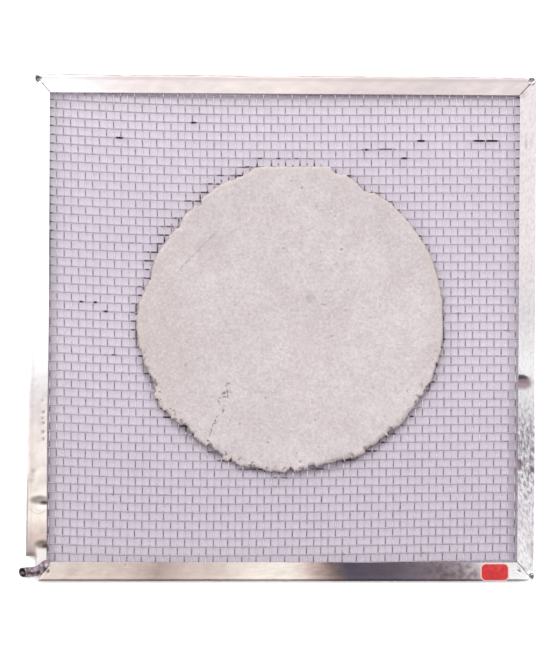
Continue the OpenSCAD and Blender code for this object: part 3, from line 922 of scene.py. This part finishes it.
# The roll's tin is painted darker than the strip's, as shade on the roll, with pale patches painted as
# highlights, and its inner skin painted dark as shade inside the roll
shaded_tail_tin, make = new_material("shaded_tail_tin")
place = make.node("ShaderNodeTexCoord")["Object"]
colour = make.mix(make.noise(place, 800, 3).ramp(0.35, 0.65), paint(164, 148, 156), paint(108, 94, 102))
colour = make.mix(make.noise(place, 650, 2).ramp(0.54, 0.66, 0, 0.85), colour, paint(232, 222, 226))
inner_shade_amount = make.noise(place, 900, 1).ramp(0.5, 0.6, 0.95, 0.5)
colour = make.mix(attribute(make, "shaded_inside") * inner_shade_amount, colour, paint(56, 43, 46))
rough = make.noise(place, 700).ramp(0.3, 0.7, 0.25, 0.42)
finish_material(make, Base_Color=colour, Metallic=1.0, Roughness=rough)
tail_data = tail_mesh("rolled_tail")
tail_data.materials.append(shaded_tail_tin)
tail = add_object("rolled_tail", tail_data)
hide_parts("edge_binding")
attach(tail, "root")

# ---- Label --------------------------------------------------------------------------
# A small label of red plastic film with a pale edge, stuck to the bottom side of the
# binding and sloping with it. It is plain.
LABEL_SIZE = (8.5, 5.2)
LABEL_CORNER = 1.4
LABEL_SLOPE = 1.5
LABEL_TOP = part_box("sticker")[1][2] / MM
# Rings of the label from its foot inwards: size, height below the top, paleness
LABEL_RINGS = (
    (1, -0.17, 1), (1, -0.07, 1), (0.985, -0.05, 1), (0.94, -0.05, 0.9), (0.90, -0.05, 0), (0.6, -0.05, 0),
    (0.3, -0.05, 0),
)

red_film, make = new_material("red_film")
place = make.node("ShaderNodeTexCoord")["Object"]
edge = attribute(make, "edge")
colour = make.mix(make.noise(place, 900, 3).ramp(0.35, 0.65), paint(200, 18, 26), paint(218, 38, 42))
colour = make.mix(make.noise(place, 350, 2).ramp(0.55, 0.7, 0, 0.3), colour, paint(240, 96, 88))
colour = make.mix(edge, colour, paint(246, 206, 202))
uneven = make.bump(make.noise(place, 1200, 2), 0.00004)
finish_material(make, Base_Color=colour, Roughness=0.38, Coat_Weight=0.3, Normal=uneven)


def label_mesh(name):
    half_x, half_y = LABEL_SIZE[0] / 2, LABEL_SIZE[1] / 2
    corner = np.linspace(0, math.pi / 2, 9)
    outline = []
    for k, (sx, sy) in enumerate(((1, 1), (-1, 1), (-1, -1), (1, -1))):
        for angle in corner + k * math.pi / 2:
            outline.append((
                sx * (half_x - LABEL_CORNER) + LABEL_CORNER * math.cos(angle),
                sy * (half_y - LABEL_CORNER) + LABEL_CORNER * math.sin(angle),
            ))
    outline = np.array(outline)
    size = len(outline)
    slope = math.tan(math.radians(LABEL_SLOPE))
    rings, edges = [], []
    for share, drop, edge in LABEL_RINGS:
        plan = outline * share + np.array(LABEL)
        lift = (plan[:, 1] - LABEL[1]) * slope
        rings.append(np.column_stack([plan, LABEL_TOP + drop + lift]))
        edges += [edge] * size
    points = np.concatenate(rings)
    index = np.arange(len(points)).reshape(-1, size)
    a, b = index[:-1], index[1:]
    faces = np.stack([a, np.roll(a, -1, 1), np.roll(b, -1, 1), b], -1).reshape(-1, 4).tolist()
    faces.append(index[-1].tolist())
    faces.append(index[0][::-1].tolist())
    mesh = bpy.data.meshes.new(name)
    mesh.from_pydata((points * MM).tolist(), [], faces)
    set_attribute(mesh, "edge", edges)
    mesh.shade_smooth()
    return mesh


label_data = label_mesh("red_label")
label_data.materials.append(red_film)
label = add_object("red_label", label_data)
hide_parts("sticker")
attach(label, "root")

# ---- Table, light and camera --------------------------------------------------------
# A sheet of white paper on a table, under an even white sky. The paper is tinted where it shows through the
# weave, with painted light that makes it lighter towards the top, and painted shade beside the binding and
# below the disc.
TABLE = 3.0
# Inner edges of the binding, where the paper comes into view
LEFT_EDGE = (-0.0699, -0.0695)
RIGHT_EDGE = (0.0649, 0.0655)
table_mesh = bpy.data.meshes.new("table")
table_mesh.from_pydata(
    [(-TABLE, -TABLE, 0), (TABLE, -TABLE, 0), (TABLE, TABLE, 0), (-TABLE, TABLE, 0)], [], [(0, 1, 2, 3)]
)
table = add_object("table", table_mesh)
paper, make = new_material("table_paper")
x, y, _ = make.split(make.node("ShaderNodeTexCoord")["Object"])
# The paper is painted lighter towards the top, as light falling off down the sheet
white = make.mix(y.ramp(-0.075, 0.075), (0.91, 0.83, 0.94, 1), (1.12, 1.03, 1.15, 1))
# Shade beside the left and right sides, under the top side, across the upper half, and
# round the lower rim of the disc
shaded = x.ramp(*LEFT_EDGE, 1, 0) * y.ramp(-0.02, 0.05, 0.2, 0.07)
shaded = shaded + x.ramp(*RIGHT_EDGE) * y.ramp(-0.04, 0.02, 0.23, 0.05)
shaded = shaded + y.ramp(0.0655, 0.067, 0, 0.15)
shaded = shaded + y.ramp(0.0663, 0.0669, 0, 0.4) * x.ramp(-0.02, 0.01)
shaded = shaded + y.ramp(-0.01, 0.03, 0, 0.085) * y.ramp(0.044, 0.058, 1, 0.7)
far = (x ** 2 + y ** 2) ** 0.5
shaded = shaded + far.ramp(0.0452, 0.0478, 0.5, 0) * y.ramp(-0.022, 0.0, 1, 0)
white = make.mix(shaded, white, (0.20, 0.16, 0.22, 1))
# Painted light on the paper beside the upper left side, lifting the shade there
pale = x.ramp(*LEFT_EDGE, 1, 0) * y.ramp(0.02, 0.05, 0, 0.15)
white = make.mix(pale, white, (1.7, 1.62, 1.7, 1))
# Beyond the binding the paper is plain white
aside = (x + 0.0022).maths("ABSOLUTE")
upward = (y + 0.0024).maths("ABSOLUTE")
beyond = aside.maths("MAXIMUM", upward).ramp(0.0715, 0.0735)
white = make.mix(beyond, white, (1.7, 1.7, 1.7, 1))
# The tints are there for the camera, and in part for what the tin reflects
path = make.node("ShaderNodeLightPath")
seen = path["Is Camera Ray"] + path["Is Glossy Ray"] * (0.25 + beyond * 0.5)
tint = make.mix(seen, (0.80, 0.77, 0.82, 1), white)
surface = make.node("ShaderNodeBsdfDiffuse", {}, {"Color": tint})["BSDF"]
make.node("ShaderNodeOutputMaterial", {}, {"Surface": surface})
table_mesh.materials.append(paper)

world = bpy.data.worlds.new("studio")
bpy.context.scene.world = world
world.use_nodes = True
world.node_tree.nodes.clear()
make = Maker(world.node_tree)
# Plain white to the camera. The light is stronger from the top and the left, with a dark
# gap towards the bottom that the folds of the tin pick up.
sideways, upward, _ = make.split(make.node("ShaderNodeTexCoord")["Generated"])
level = 0.985 + 0.5 * upward.ramp(0.07, 0.34)
level = level - 0.85 * upward.ramp(-0.25, -0.15, 1, 0) * upward.ramp(-0.84, -0.64)
level = level + 0.25 * sideways.ramp(-0.25, 0.0, 1, 0)
path = make.node("ShaderNodeLightPath")
level = level + path["Is Camera Ray"] * (1 - level)
sky = make.node("ShaderNodeBackground", {}, {"Color": (1, 1, 1, 1), "Strength": level})["Background"]
make.node("ShaderNodeOutputWorld", {}, {"Surface": sky})

# The camera looks straight down. One row of the picture is 0.2976 mm high on the cloth.
CAMERA_AT = (-3.72 * MM, -3.87 * MM)
CAMERA_HEIGHT = 1.0
PICTURE_ROWS = 666
FRAME_HEIGHT = PICTURE_ROWS * 0.2976 * MM
SENSOR = 24
camera_data = bpy.data.cameras.new("camera")
camera_data.sensor_fit = "VERTICAL"
camera_data.sensor_height = SENSOR
camera_data.lens = SENSOR * CAMERA_HEIGHT / FRAME_HEIGHT
camera = add_object("camera", camera_data)
camera.location = (*CAMERA_AT, CAMERA_HEIGHT + CLOTH_LEVEL)
bpy.context.scene.camera = camera
bpy.context.scene.view_settings.view_transform = "Standard"
